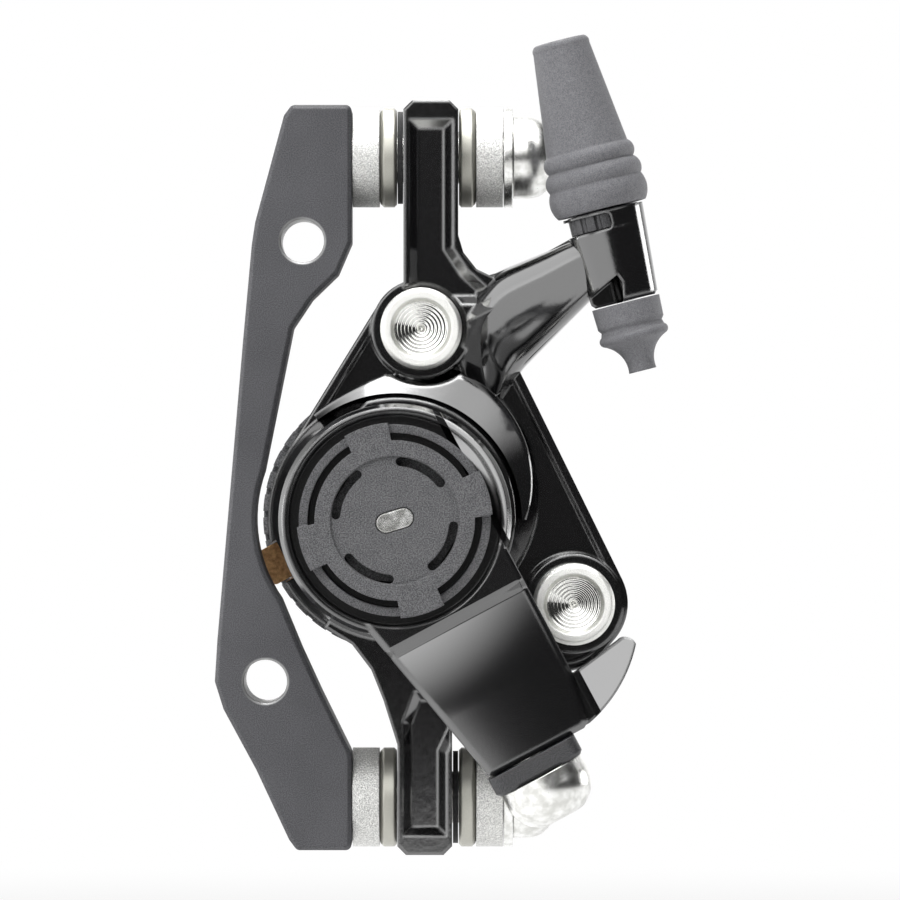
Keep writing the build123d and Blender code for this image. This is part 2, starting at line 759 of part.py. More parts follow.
# Return spring: a coil between the drum and the arm that turns the arm back.
spring_height = spring_pitch * spring_turns
spring_front = drum_face + 1.8 - spring_wire_r - spring_height
with BuildPart() as return_spring:
    with BuildLine():
        coil = Helix(
            spring_pitch,
            spring_height,
            spring_r,
            center=(actuator_x, spring_front, actuator_z),
            direction=(0, 1, 0),
        )
    with BuildSketch(Plane(origin=coil @ 0, z_dir=coil % 0)):
        Circle(spring_wire_r)
    sweep(is_frenet=True)
return_spring.part.label = "return_spring"

# Drive ramp: the hollow spindle with the disc that holds the three balls in pockets.
ball_angles = [90, 210, 330]
ball_points = [
    (
        actuator_x + ball_circle_r * cos(radians(angle)),
        ball_depth,
        actuator_z + ball_circle_r * sin(radians(angle)),
    )
    for angle in ball_angles
]
with BuildPart() as drive_ramp:
    with BuildSketch(actuator_section):
        band(0, drum_disc_r, drive_disc_front, drive_disc_back)
        band(0, spindle_r, arm_hub_back + 0.1, drive_disc_front)
        band(0, nut_core_r, nut_front - 0.2, arm_floor_front)
    revolve(axis=actuator_axis)
    with BuildSketch(arm_plane(arm_hub_back + 0.1)):
        RegularPolygon(hex_flats / 2, 6, major_radius=False)
    extrude(amount=arm_hub_back + 0.1 - arm_floor_front)
    with BuildSketch(actuator_section):
        band(0, screw_bore_r, nut_front - 2, drive_disc_back + 1)
    revolve(axis=actuator_axis, mode=Mode.SUBTRACT)
    with Locations(*ball_points):
        Sphere(ball_r + ball_fit, mode=Mode.SUBTRACT)
drive_ramp.part.label = "drive_ramp"

with BuildPart() as ramp_balls:
    with Locations(*ball_points):
        Sphere(ball_r)
ramp_balls.part.label = "ramp_balls"

# Pressure ramp: keyed to the drum. Its tracks climb, so the balls push it inboard as the arm turns.
track_pitch = ramp_lift * 360 / arm_travel
track_overrun = 15.0
with BuildPart() as pressure_ramp:
    with BuildSketch(actuator_section):
        band(0, drum_disc_r, ramp_front, ramp_back)
        band(0, ramp_nut_r, ramp_back, ramp_nut_back)
    revolve(axis=actuator_axis)
    with BuildSketch(body_plane(ramp_back)):
        with PolarLocations(drum_bore_r, 3, start_angle=key_start):
            Rectangle(2 * key_depth, key_width)
    extrude(amount=ramp_disc_length)
    with BuildSketch(actuator_section):
        band(0, screw_r + running_fit, ramp_front - 1, ramp_nut_back + 1)
    revolve(axis=actuator_axis, mode=Mode.SUBTRACT)
for angle in ball_angles:
    turns = arm_travel + 2 * track_overrun
    start = radians(angle - track_overrun)
    rise = track_pitch / 360
    with BuildPart() as ball_track:
        with BuildLine():
            track = Spline(
                *[
                    (
                        actuator_x + ball_circle_r * cos(start + radians(turns * step / 4)),
                        ball_depth - rise * (turns * step / 4 - track_overrun),
                        actuator_z + ball_circle_r * sin(start + radians(turns * step / 4)),
                    )
                    for step in range(5)
                ]
            )
        with BuildSketch(Plane(origin=track @ 0, z_dir=track % 0)):
            Circle(ball_r + 2 * ball_fit)
        sweep(path=track)
    pressure_ramp.part = pressure_ramp.part - ball_track.part
pressure_ramp.part.label = "pressure_ramp"


def foot_screw(near, thread_front, thread_back, far):
    """Adjusting screw: a threaded barrel with a core that ends in a flat tang for the dial."""
    core_tip, tang_tip = near
    with BuildPart() as screw:
        with BuildSketch(actuator_section):
            band(0, screw_r, thread_front, thread_back)
            band(0, screw_core_r, min(core_tip, thread_front), max(core_tip, thread_back))
        revolve(axis=actuator_axis)
        with BuildSketch(facing(actuator_x, actuator_z, tang_turn, core_tip)):
            SlotOverall(tang_length, tang_width)
        extrude(amount=core_tip - tang_tip)
        with BuildSketch(actuator_section):
            band(0, foot_pin_r + running_fit, min(far), max(far))
        revolve(axis=actuator_axis, mode=Mode.SUBTRACT)
    return screw.part


def pressure_foot(pin_tip, disc_near, disc_far):
    """Foot: a disc that bears on the pad's plate, on a pin that swivels in its screw."""
    with BuildPart() as foot:
        with BuildSketch(actuator_section):
            band(0, foot_r, min(disc_near, disc_far), max(disc_near, disc_far))
            band(0, foot_pin_r, min(pin_tip, disc_near), max(pin_tip, disc_near))
        revolve(axis=actuator_axis)
    return foot.part


outboard_screw_pocket = screw_back - 3.6
outboard_screw = foot_screw(
    (dial_face + 3.0, dial_face + 0.6), ramp_front + 0.3, screw_back, (outboard_screw_pocket, screw_back + 1)
)
outboard_screw.label = "outboard_foot_screw"
outboard_foot = pressure_foot(
    outboard_screw_pocket + 0.3, screw_back + running_fit, outboard_plate_back - running_fit
)
outboard_foot.label = "outboard_foot"


def pad_plate(back, depth):
    """Backing plate with its pull tab, from its back face towards the rotor."""
    with BuildPart() as plate:
        with BuildSketch(body_plane(back)):
            pad_outline(0)
            with Locations(((tab_u + pad_heel_u) / 2 + 1, tab_v)):
                Rectangle(pad_heel_u - tab_u + 2, tab_width)
        extrude(amount=-depth)
        fold = plate.edges().filter_by(Axis.Y).filter_by(
            lambda edge: (edge.center() - Vector(actuator_x, edge.center().Y, actuator_z)).length > 15.5
        )
        fillet(fold, 0.8)
    return plate.part


def pad_lining(back, depth):
    """Friction lining on the plate, a little smaller than it, with a groove along the radius."""
    with BuildPart() as lining:
        with BuildSketch(body_plane(back)):
            pad_outline(-plate_margin)
        extrude(amount=-depth)
        with BuildSketch(body_plane(back + depth)):
            Rectangle(40, 1.4)
        extrude(amount=0.5 * depth, mode=Mode.SUBTRACT)
    return lining.part


outboard_plate = pad_plate(outboard_plate_back, plate_depth)
outboard_plate.label = "outboard_pad_plate"
outboard_lining = pad_lining(outboard_plate_back + plate_depth, lining_depth)
outboard_lining.label = "outboard_pad_lining"
inboard_plate = pad_plate(inboard_plate_back, -plate_depth)
inboard_plate.label = "inboard_pad_plate"
inboard_lining = pad_lining(inboard_plate_back - plate_depth, -lining_depth)
inboard_lining.label = "inboard_pad_lining"

# Pad spring: a bowed leaf between the pads' outer edges and the bridge, against rattle.
with BuildPart() as pad_spring:
    leaf_u = pad_top_u + 0.3
    with BuildSketch(body_plane(inboard_wall - 0.4)):
        with BuildLine():
            crown_u = leaf_u + pad_spring_bow
            outer = ThreePointArc(
                (leaf_u + 0.1, pad_spring_half),
                (crown_u, 0),
                (leaf_u + 0.1, -pad_spring_half),
            )
            inner = ThreePointArc(
                (leaf_u, pad_spring_half - pad_spring_sheet),
                (crown_u - pad_spring_sheet, 0),
                (leaf_u, pad_spring_sheet - pad_spring_half),
            )
            Line(outer @ 0, inner @ 0)
            Line(outer @ 1, inner @ 1)
        make_face()
    extrude(amount=inboard_wall - slot_wall - 0.8)
pad_spring.part.label = "pad_spring"

# Inboard foot screw, foot and dial
inboard_screw_front = inboard_wall + 2.75
inboard_boss_face = inboard_face + inboard_boss_length
inboard_dial_front = inboard_face + inboard_dial_gap
inboard_dial_back = inboard_dial_front + inboard_dial_depth
with BuildPart() as inboard_foot_screw:
    with BuildSketch(actuator_section):
        band(0, screw_r, inboard_screw_front, inboard_boss_face + 0.4)
    revolve(axis=actuator_axis)
    with BuildSketch(facing(actuator_x, actuator_z, tang_turn, inboard_dial_back - 0.4)):
        SlotOverall(tang_length, tang_width)
    extrude(amount=inboard_dial_back - 0.4 - inboard_boss_face - 0.4)
    with BuildSketch(actuator_section):
        band(0, foot_pin_r + running_fit, inboard_screw_front - 1, inboard_screw_front + 3.6)
    revolve(axis=actuator_axis, mode=Mode.SUBTRACT)
inboard_foot_screw.part.label = "inboard_foot_screw"

inboard_foot = pressure_foot(
    inboard_screw_front + 3.3, inboard_screw_front - running_fit, inboard_plate_back + running_fit
)
inboard_foot.label = "inboard_foot"

with BuildPart() as inboard_dial:
    with BuildSketch(actuator_section):
        band(0, inboard_dial_r, inboard_dial_front, inboard_dial_back)
    revolve(axis=actuator_axis)
    chamfer(inboard_dial.faces().sort_by(Axis.Y)[-1].edges(), 0.8)
    with BuildSketch(actuator_section):
        cavity_back = inboard_dial_back - 1.6
        sleeve_r = inboard_boss_r + running_fit
        band(sleeve_r + 1.4, inboard_dial_r - inboard_dial_wall, inboard_dial_front - 1, cavity_back)
        band(0, sleeve_r, inboard_dial_front - 1, inboard_boss_face + 0.2)
        band(0, screw_r + 0.3, inboard_dial_front, inboard_boss_face + 0.8)
    revolve(axis=actuator_axis, mode=Mode.SUBTRACT)
    with BuildSketch(facing(actuator_x, actuator_z, tang_turn, inboard_dial_back + 1)):
        SlotOverall(tang_slot_length, tang_slot_width)
    extrude(amount=inboard_dial_depth, mode=Mode.SUBTRACT)
    with BuildSketch(body_plane(inboard_dial_front)):
        with PolarLocations(inboard_dial_r, tooth_count):
            Rectangle(2 * tooth_depth, 0.8)
    extrude(amount=-(inboard_dial_depth - 1.2), mode=Mode.SUBTRACT)
inboard_dial.part.label = "inboard_dial"

# Actuator arm: a forged lever with a cup for the dial, a claw that guides the cable and a clamp end.
claw_root = arm_length - 6.0
with BuildPart() as actuator_arm:
    with BuildSketch(arm_plane(arm_back)):
        Polygon(
            (0, -arm_half_width),
            (6.3, -arm_half_width + 0.3),
            (arm_length - 0.5, -arm_tip_half + 2.2),
            (arm_length, -arm_tip_half + 2.8),
            (arm_length, arm_tip_half + 1.2),
            (arm_length - 0.5, arm_tip_half + 2.0),
            (claw_root, arm_half_width - 0.1),
            (0, arm_half_width + 0.1),
            align=None,
        )
    extrude(amount=arm_back - arm_face)
    chamfer(actuator_arm.faces().sort_by(Axis.Y)[0].edges(), arm_bevel)
    with BuildSketch(actuator_section):
        Polygon(
            (0, arm_hub_back),
            (arm_hub_r - 0.6, arm_hub_back),
            (arm_hub_r, arm_hub_back - 0.6),
            (arm_hub_r, arm_face + 1.4),
            (arm_hub_r - 0.5, arm_face + 0.2),
            (0, arm_face + 0.2),
            align=None,
        )
    revolve(axis=actuator_axis)
    with BuildSketch(arm_plane(claw_back)):
        with BuildLine():
            Polyline(
                (arm_length - 0.2, arm_tip_half),
                (claw_root - 2, arm_half_width - 3),
                (claw_root, arm_half_width),
                (claw_root - 0.9, claw_reach - 1.6),
            )
            ThreePointArc(
                (claw_root - 0.9, claw_reach - 1.6),
                (claw_root - 0.6, claw_reach - 0.3),
                (claw_root + 0.4, claw_reach),
            )
            ThreePointArc(
                (claw_root + 0.4, claw_reach),
                (arm_length - 2.3, arm_half_width + 4),
                (arm_length - 0.2, arm_tip_half + 2),
            )
            Line((arm_length - 0.2, arm_tip_half + 2), (arm_length - 0.2, arm_tip_half))
        make_face()
    extrude(amount=claw_back - claw_face)
    # The cup for the dial, the hexagon on the spindle and the groove for the return spring
    with BuildSketch(actuator_section):
        band(0, arm_cup_r, arm_face - 1, arm_floor_front)
        band(0, spindle_r + running_fit, arm_hub_back - 0.2, arm_hub_back + 1)
        band(spring_r - 1.1, spring_r + 1.1, spring_front - spring_wire_r - 0.2, arm_hub_back + 1)
    revolve(axis=actuator_axis, mode=Mode.SUBTRACT)
    with BuildSketch(arm_plane(arm_hub_back + 1)):
        RegularPolygon(hex_flats / 2 + running_fit, 6, major_radius=False)
    extrude(amount=arm_floor + 2, mode=Mode.SUBTRACT)
    # The cable groove round the claw and across the clamp end, and the clamp bolt's thread
    with BuildLine():
        groove_line = ThreePointArc(
            arm_plane(cable_depth).from_local_coords((claw_root + 0.3, claw_reach + 0.1, 0)),
            arm_plane(cable_depth).from_local_coords((arm_length - 2.2, arm_half_width + 4.1, 0)),
            arm_plane(cable_depth).from_local_coords((arm_length - 0.1, arm_tip_half + 2, 0)),
        )
    with BuildSketch(Plane(origin=groove_line @ 0, z_dir=groove_line % 0)):
        Circle(cable_groove_r)
    sweep(path=groove_line, mode=Mode.SUBTRACT)
    clamp_centre = arm_plane(cable_depth).from_local_coords((arm_length, 0.9, 0))
    clamp_out = arm_plane(0).x_dir
    clamp_section_x = arm_plane(0).y_dir
    clamp_plane = Plane(origin=clamp_centre, x_dir=clamp_section_x, z_dir=clamp_out)
    with BuildSketch(clamp_plane):
        Circle(clamp_bolt_r + thread_fit)
    extrude(amount=-9.5, mode=Mode.SUBTRACT)
    with BuildSketch(Plane(origin=clamp_centre, x_dir=(0, 1, 0), z_dir=clamp_section_x)):
        with Locations((clamp_bolt_r + 0.6, 0)):
            Circle(0.5 * cable_groove_r)
    extrude(amount=20, both=True, mode=Mode.SUBTRACT)
actuator_arm.part.label = "actuator_arm"

# Arm nut: holds the arm on the spindle, down in the cup.
with BuildPart() as arm_nut:
    with BuildSketch(arm_plane(arm_floor_front - running_fit)):
        RegularPolygon(nut_flats / 2, 6, major_radius=False)
        Circle(nut_core_r + thread_fit, mode=Mode.SUBTRACT)
    extrude(amount=nut_length)
arm_nut.part.label = "arm_nut"

# Cable clamp: a plate with turned-down corners and a domed bolt in the arm's end.
with BuildPart() as cable_clamp_plate:
    with BuildSketch(clamp_plane.offset(clamp_gap)):
        RectangleRounded(clamp_plate_length, clamp_plate_width, 1.2)
        Circle(clamp_bolt_r + thread_fit, mode=Mode.SUBTRACT)
    extrude(amount=clamp_plate_thick)
    chamfer(cable_clamp_plate.faces().sort_by(Axis(clamp_centre, clamp_out))[-1].outer_wire().edges(), 0.4)
cable_clamp_plate.part.label = "cable_clamp_plate"

clamp_head_base = 2 * clamp_gap + clamp_plate_thick
clamp_side = Plane(origin=clamp_centre, x_dir=(0, 1, 0), z_dir=-clamp_section_x)
with BuildPart() as cable_clamp_bolt:
    with BuildSketch(clamp_side) as clamp_bolt_section:
        with BuildLine():
            Polyline(
                (0, clamp_head_base + clamp_head_height),
                (0, -9.0),
                (clamp_bolt_r - 0.4, -9.0),
                (clamp_bolt_r, -8.6),
                (clamp_bolt_r, clamp_head_base),
                (clamp_head_r, clamp_head_base),
                (clamp_head_r, clamp_head_base + 1.4),
            )
            ThreePointArc(
                (clamp_head_r, clamp_head_base + 1.4),
                (0.84 * clamp_head_r, clamp_head_base + 0.76 * clamp_head_height),
                (0.5 * clamp_head_r, clamp_head_base + clamp_head_height),
            )
            Line(
                (0.5 * clamp_head_r, clamp_head_base + clamp_head_height),
                (0, clamp_head_base + clamp_head_height),
            )
        make_face()
    revolve(axis=Axis(clamp_centre, clamp_out))
    with BuildSketch(clamp_plane.offset(clamp_head_base + clamp_head_height)):
        RegularPolygon(0.4 * clamp_head_r, 6)
    extrude(amount=-2.4, mode=Mode.SUBTRACT)
cable_clamp_bolt.part.label = "cable_clamp_bolt"

# Outboard dial: a lobed plastic knob in the arm's cup. Its slot turns the screw's tang.
with BuildPart() as outboard_dial:
    plate_back = dial_face + dial_plate
    with BuildSketch(facing(actuator_x, actuator_z, 0, plate_back)):
        Circle(dial_notch_r)
        for direction in (17, 107.5, 197.5, 287):
            with BuildLine():
                start = direction - dial_lobe_angle / 2
                end = direction + dial_lobe_angle / 2
                lobe = ThreePointArc(
                    polar(dial_lobe_r, start), polar(dial_lobe_r, direction), polar(dial_lobe_r, end)
                )
                Polyline(lobe @ 1, polar(6, end + 6), polar(6, start - 6), lobe @ 0)
            make_face()
    extrude(amount=dial_plate)
    with BuildSketch(actuator_section):
        skirt_r = dial_lobe_r - dial_skirt_step
        band(skirt_r - dial_skirt, skirt_r, plate_back - 0.3, dial_face + dial_skirt_depth)
        band(0, 6.0, plate_back - 0.3, plate_back + 0.6)
    revolve(axis=actuator_axis)
    with BuildSketch(actuator_section):
        band(0, dial_step_r, dial_face - 1, dial_face + dial_step)
    revolve(axis=actuator_axis, mode=Mode.SUBTRACT)
    with BuildSketch(facing(actuator_x, actuator_z, 0, plate_back + 1)):
        for direction in (62, 152, 242, 332):
            start = direction - dial_slot_angle / 2
            end = direction + dial_slot_angle / 2
            inner_r = dial_slot_r - dial_slot_width / 2
            outer_r = dial_slot_r + dial_slot_width / 2
            with BuildLine():
                outer_arc = ThreePointArc(
                    polar(outer_r, start), polar(outer_r, direction), polar(outer_r, end)
                )
                inner_arc = ThreePointArc(
                    polar(inner_r, start), polar(inner_r, direction), polar(inner_r, end)
                )
                ThreePointArc(outer_arc @ 1, polar(dial_slot_r, end + 4), inner_arc @ 1)
                ThreePointArc(outer_arc @ 0, polar(dial_slot_r, start - 4), inner_arc @ 0)
            make_face()
    extrude(amount=dial_plate + 2, mode=Mode.SUBTRACT)
    with BuildSketch(facing(actuator_x, actuator_z, tang_turn, plate_back + 1)):
        SlotOverall(tang_slot_length, tang_slot_width)
    extrude(amount=dial_plate + 2, mode=Mode.SUBTRACT)
outboard_dial.part.label = "outboard_dial"

# Barrel adjuster: a threaded sleeve with a fluted collar that takes the cable's housing.
socket_floor = collar_r - 2.85
with BuildPart() as barrel_adjuster:
    with BuildSketch(stop_section):
        band(0, adjuster_r, stop_foot_q + 3.6, 0.2)
        band(0, collar_r, -stop_window + 0.1, 0.1)
        band(0, adjuster_r + 0.3, 0, adjuster_stem)
    revolve(axis=stop_axis)
    with BuildSketch(stop_section):
        band(0, housing_socket_r, socket_floor, boot_length)
        band(0, cable_hole_r, stop_foot_q, boot_length)
    revolve(axis=stop_axis, mode=Mode.SUBTRACT)
    collar_plane = Plane(origin=stop_section.from_local_coords((0, -stop_window + 0.1, 0)), z_dir=stop_up)
    with BuildSketch(collar_plane):
        with PolarLocations(collar_r + 0.15, 14):
            Circle(0.42)
    extrude(amount=stop_window - 0.1, mode=Mode.SUBTRACT)
barrel_adjuster.part.label = "barrel_adjuster"

# Housing boot: a ribbed rubber sleeve over the adjuster and the end of the cable's housing.
boot_base = 0.25
with BuildPart() as housing_boot:
    with BuildSketch(stop_section):
        with BuildLine():
            Polyline(
                (adjuster_r + 0.35, boot_base),
                (5.1, boot_base),
                (5.2, boot_base + 0.1),
            )
            ThreePointArc((5.2, boot_base + 0.1), (5.7, boot_base + 1.75), (5.35, boot_base + 3.1))
            ThreePointArc((5.35, boot_base + 3.1), (5.6, boot_base + 4.1), (4.95, boot_base + 5.2))
            ThreePointArc((4.95, boot_base + 5.2), (5.3, boot_base + 6.1), (4.75, boot_base + 7.1))
            Line((4.75, boot_base + 7.1), (3.3, boot_length - 0.9))
            ThreePointArc(
                (3.3, boot_length - 0.9),
                (3.15, boot_length - 0.2),
                (2.9, boot_length),
            )
            Polyline(
                (2.9, boot_length),
                (boot_grip_r, boot_length),
                (boot_grip_r, adjuster_stem + 0.2),
                (adjuster_r + 0.35, adjuster_stem + 0.2),
                (adjuster_r + 0.35, boot_base),
            )
        make_face()
    revolve(axis=stop_axis)
housing_boot.part.label = "housing_boot"

# Nozzle boot: the small rubber boot under the stop that wipes the bare cable.
nozzle_top = stop_foot_q - 0.15
with BuildPart() as nozzle_boot:
    with BuildSketch(stop_section):
        with BuildLine():
            Polyline(
                (cable_hole_r, nozzle_top - nozzle_length),
                (cable_hole_r, nozzle_top),
                (3.95, nozzle_top),
                (3.85, nozzle_top - 2.4),
                (3.55, nozzle_top - 2.8),
                (3.7, nozzle_top - 3.3),
            )
            ThreePointArc((3.7, nozzle_top - 3.3), (4.0, nozzle_top - 3.95), (3.6, nozzle_top - 4.4))
            ThreePointArc(
                (3.6, nozzle_top - 4.4),
                (2.2, nozzle_top - 5.5),
                (1.6, nozzle_top - nozzle_length),
            )
            Line((1.6, nozzle_top - nozzle_length), (cable_hole_r, nozzle_top - nozzle_length))
        make_face()
    revolve(axis=stop_axis)
nozzle_boot.part.label = "nozzle_boot"

pieces = [
    mount_bracket.part,
    concave_washers.part,
    convex_washers.part,
    retaining_rings.part,
    flat_washers.part,
    post_bolts.part,
    outboard_housing.part,
    inboard_housing.part,
    body_bolts.part,
    thrust_washer.part,
    dust_seal.part,
    return_spring.part,
    drive_ramp.part,
    ramp_balls.part,
    pressure_ramp.part,
    outboard_screw,
    outboard_foot,
    outboard_plate,
    outboard_lining,
    inboard_plate,
    inboard_lining,
    pad_spring.part,
    inboard_foot_screw.part,
    inboard_foot,
    inboard_dial.part,
    actuator_arm.part,
    arm_nut.part,
    cable_clamp_plate.part,
    cable_clamp_bolt.part,
    outboard_dial.part,
    barrel_adjuster.part,
    housing_boot.part,
    nozzle_boot.part,
]
for piece in pieces:
    export_step(piece, "parts/" + piece.label + ".step")
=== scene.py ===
import json
import math

import bmesh
import bpy
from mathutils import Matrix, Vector


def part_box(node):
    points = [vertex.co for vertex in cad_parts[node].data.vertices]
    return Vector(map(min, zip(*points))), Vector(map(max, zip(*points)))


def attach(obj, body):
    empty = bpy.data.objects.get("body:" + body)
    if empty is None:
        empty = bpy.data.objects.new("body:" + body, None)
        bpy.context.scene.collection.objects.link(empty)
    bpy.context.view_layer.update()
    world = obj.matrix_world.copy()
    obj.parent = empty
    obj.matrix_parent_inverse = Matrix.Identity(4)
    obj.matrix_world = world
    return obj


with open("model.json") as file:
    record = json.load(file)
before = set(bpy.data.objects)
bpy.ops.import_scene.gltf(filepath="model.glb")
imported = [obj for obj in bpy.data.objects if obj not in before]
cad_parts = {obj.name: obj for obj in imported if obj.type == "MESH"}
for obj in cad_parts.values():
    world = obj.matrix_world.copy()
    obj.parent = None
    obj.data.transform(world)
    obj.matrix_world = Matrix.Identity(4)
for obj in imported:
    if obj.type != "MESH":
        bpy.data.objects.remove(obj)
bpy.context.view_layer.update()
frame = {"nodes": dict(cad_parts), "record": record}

MM = 0.001

# The photograph's view: square to the rotor's plane and level, from far enough away that
# the caliper shows almost no perspective. The view is as wide as the photograph at the bolts' depth.
view_centre = Vector((19.16, 6.0, 1.28)) * MM
view_width = 104.5 * MM
view_distance = 900 * MM
camera_data = bpy.data.cameras.new("camera")
camera = bpy.data.objects.new("camera", camera_data)
bpy.context.collection.objects.link(camera)
camera.location = view_centre - Vector((0, view_distance, 0))
camera.rotation_euler = (math.radians(90), 0, 0)
camera_data.sensor_width = 36
camera_data.lens = camera_data.sensor_width * view_distance / view_width
camera_data.clip_start = 10 * MM
camera_data.clip_end = 20
bpy.context.scene.camera = camera
bpy.context.scene.view_settings.view_transform = "Standard"


# The room: a plain pale floor under the part, white beyond it, and the light of a photographer's
# tent. The part mirrors white cloth behind it, above and on the left, and a dim room elsewhere.
# Below, the floor stands for the cloth: it glows in the part's reflections, most on the left.
floor_height = -75 * MM
floor_radius = 600 * MM
shadow_radius = 150 * MM
cloth_edges = (-40 * MM, 70 * MM)
floor_mesh = bpy.data.meshes.new("floor")
floor_edge = [
    (
        view_centre.x + floor_radius * math.cos(math.radians(turn)),
        floor_radius * math.sin(math.radians(turn)),
        floor_height,
    )
    for turn in range(0, 360, 5)
]
floor_mesh.from_pydata(floor_edge, [], [list(range(len(floor_edge)))])
floor = bpy.data.objects.new("floor", floor_mesh)
bpy.context.collection.objects.link(floor)


class Wire:
    """A shader socket that takes part in sums. Sums of values become Math nodes."""

    def __init__(self, tree, socket=None):
        self.tree = tree
        self.socket = socket

    def node(self, kind, settings=None, sockets=None, output=0):
        """Adds a node, with its settings set first and then its sockets' values or links."""
        made = self.tree.nodes.new(kind)
        for name, value in (settings or {}).items():
            setattr(made, name, value)
        for name, value in (sockets or {}).items():
            if isinstance(value, Wire):
                self.tree.links.new(value.socket, made.inputs[name])
            else:
                made.inputs[name].default_value = value
        return Wire(self.tree, made.outputs[output])

    def math(self, operation, *values):
        """One Math node on wires and numbers, or on this wire alone."""
        return self.node("ShaderNodeMath", {"operation": operation}, dict(enumerate(values or (self,))))

    def __add__(self, other):
        return self.math("ADD", self, other)

    def __sub__(self, other):
        return self.math("SUBTRACT", self, other)

    def __rsub__(self, other):
        return self.math("SUBTRACT", other, self)

    def __mul__(self, other):
        return self.math("MULTIPLY", self, other)

    def __truediv__(self, other):
        return self.math("DIVIDE", self, other)

    __radd__ = __add__
    __rmul__ = __mul__

    def rise(self, low, high):
        """0 below low, 1 above high, and a smooth step between them."""
        settings = {"interpolation_type": "SMOOTHSTEP"}
        return self.node("ShaderNodeMapRange", settings, {"Value": self, "From Min": low, "From Max": high})

    def parts(self):
        """The three coordinates of a vector wire."""
        return [self.node("ShaderNodeSeparateXYZ", None, {0: self}, place) for place in range(3)]

    def blend(self, first, second):
        """A colour from first to second as this wire goes from 0 to 1."""
        ends = [(*end, 1) if isinstance(end, tuple) else end for end in (first, second)]
        return self.node("ShaderNodeMix", {"data_type": "RGBA"}, {0: self, 6: ends[0], 7: ends[1]}, 2)

    def into(self, shader, name):
        """Links this wire to one of a shader's sockets."""
        self.tree.links.new(self.socket, shader.inputs[name])


floor_paint = bpy.data.materials.new("floor_paint")
floor_paint.use_nodes = True
floor_mesh.materials.append(floor_paint)
floor_tree = floor_paint.node_tree
floor_tree.nodes.clear()
ground = Wire(floor_tree)
ground_x, ground_y, _ = ground.node("ShaderNodeTexCoord", output="Object").parts()
ground_x = ground_x - view_centre.x
ground_r = (ground_x * ground_x + ground_y * ground_y).math("SQRT")
far_out = ground_r.rise(shadow_radius, floor_radius * 0.9)
speckle = ground.node("ShaderNodeTexNoise", None, {"Scale": 400, "Detail": 4})
floor_colour = speckle.blend((0.86, 0.86, 0.86), (0.9, 0.9, 0.9))
matt = ground.node("ShaderNodeBsdfDiffuse", None, {"Color": floor_colour})
seen = ground.node("ShaderNodeLightPath", output="Is Camera Ray")
mirrored_floor = ground.node("ShaderNodeLightPath", output="Is Glossy Ray")
glow_strength = 1 + 0.5 * mirrored_floor
glow = ground.node("ShaderNodeEmission", None, {"Color": (1, 1, 1, 1), "Strength": glow_strength})
cloth_side = 1 - 0.8 * ground_x.rise(*cloth_edges)
glowing = far_out * seen + mirrored_floor * cloth_side
cover = ground.node("ShaderNodeMixShader", None, {0: glowing, 1: matt, 2: glow})
floor_out = floor_tree.nodes.new("ShaderNodeOutputMaterial")
floor_tree.links.new(cover.socket, floor_out.inputs["Surface"])

world = bpy.data.worlds.new("tent")
bpy.context.scene.world = world
world.use_nodes = True
tent = Wire(world.node_tree)
toward = tent.node("ShaderNodeTexCoord", output="Generated")
toward_x, toward_y, toward_z = toward.parts()


def card(direction, inner, outer):
    """1 towards a direction, 0 away from it, between two angles in degrees."""
    length = math.sqrt(sum(part * part for part in direction))
    x, y, z = [part / length for part in direction]
    along = toward_x * x + toward_y * y + toward_z * z
    return along.rise(math.cos(math.radians(outer)), math.cos(math.radians(inner)))


behind = card((0, 1, 0), 26, 60)
mirrored = 0.04 + 1.3 * behind
cloths = [
    (9.0, (-0.3, 0.55, 0.78), 9, 17),
    (2.4, (-1, 0.15, 0.1), 22, 44),
    (2.6, (-0.1, 0.1, 1), 22, 46),
    (2.2, (0.2, -0.52, 0.83), 18, 44),
    (2.0, (-0.62, -0.62, -0.48), 18, 42),
    (3.4, (-0.38, -0.84, 0.38), 6, 31),
]
for power, direction, inner, outer in cloths:
    mirrored = mirrored + power * card(direction, inner, outer)
soft_light = 0.35 + 1.4 * behind
in_view = tent.node("ShaderNodeLightPath", output="Is Camera Ray")
in_gloss = tent.node("ShaderNodeLightPath", output="Is Glossy Ray")
strength = in_view + (1 - in_view) * (in_gloss * mirrored + (1 - in_gloss) * soft_light)
strength.into(world.node_tree.nodes["Background"], "Strength")
world.node_tree.nodes["Background"].inputs["Color"].default_value = (1, 1, 1, 1)

lamps = [
    ("key", (-260, -480, 430), 340, 3.0),
    ("front", (60, -1000, 40), 420, 0.35),
    ("top", (30, -60, 380), 260, 1.0),
    ("right_rim", (420, 180, 40), 160, 0.5),
    ("left_rim", (-400, 160, 0), 160, 0.5),
]
for name, place, width, power in lamps:
    lamp_data = bpy.data.lights.new(name, "AREA")
    lamp_data.shape = "SQUARE"
    lamp_data.size = width * MM
    lamp_data.energy = power
    lamp = bpy.data.objects.new(name, lamp_data)
    bpy.context.collection.objects.link(lamp)
    lamp.location = Vector(place) * MM
    lamp.rotation_euler = (view_centre - lamp.location).to_track_quat("-Z", "Y").to_euler()
    lamp.visible_camera = False
    lamp.visible_glossy = name not in ("key", "front")


# Mount bracket: a forged aluminium plate with a matt charcoal coat, held to the frame by two
# bolts. Its threads are cut after coating, so the two holes are bare metal. A thin ring of the same
# bare metal round each hole's mouth is a painted highlight that stands in for a lit edge.
hole_pitch = next(m for m in frame["record"]["mounts"] if m["name"] == "frame_bolts")["dims"]["pcd_mm"]
hole_lean = math.radians(4.8)
hole_x = hole_pitch / 2 * math.sin(hole_lean) * MM
hole_z = hole_pitch / 2 * math.cos(hole_lean) * MM
hole_r = 2.5 * MM
thread_pitch = 1.0 * MM


